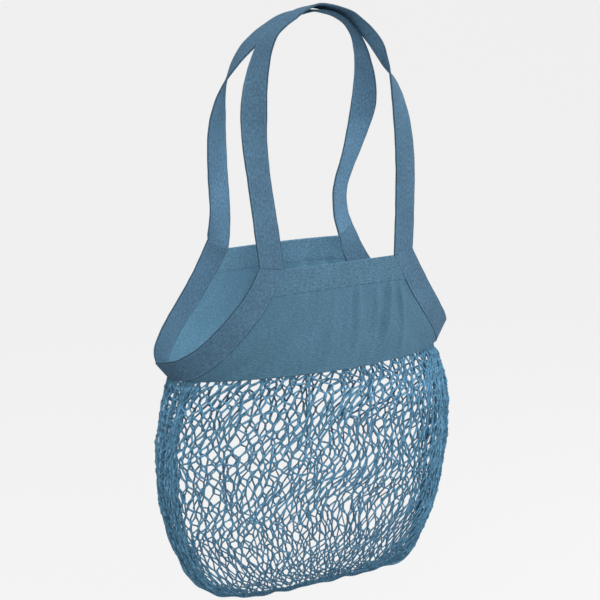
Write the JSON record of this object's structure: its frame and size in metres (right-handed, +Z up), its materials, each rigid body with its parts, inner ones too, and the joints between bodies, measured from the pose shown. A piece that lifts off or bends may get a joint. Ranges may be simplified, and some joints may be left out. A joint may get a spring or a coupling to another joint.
{
  "type": "string shopping bag",
  "caption": "Cotton shopping bag with a cloth yoke, long flat tape handles and a knotted net pouch, shown hanging by its handles.",
  "frame": {"origin": "where the bag hangs: the underside of the back handle at the top of its arch, with the front handle lying over it", "axes": "+Z up, -Y towards the bag's front, +X to the right as seen from the front"},
  "size_m": [0.3631, 0.1618, 0.6609],
  "materials": {
    "tape": "heathered cotton tape, dense twill",
    "cloth": "plain woven cotton canvas, matte",
    "net": "knotted cotton string"
  },
  "bodies": {
    "root": {"handle_front": "tape", "handle_back": "tape", "binding_left": "tape", "binding_right": "tape", "hem_band_front": "cloth", "hem_band_back": "cloth", "yoke_front": "cloth", "yoke_back": "cloth", "net_pouch": "net", "bottom_seam": "net"}
  },
  "joints": []
}
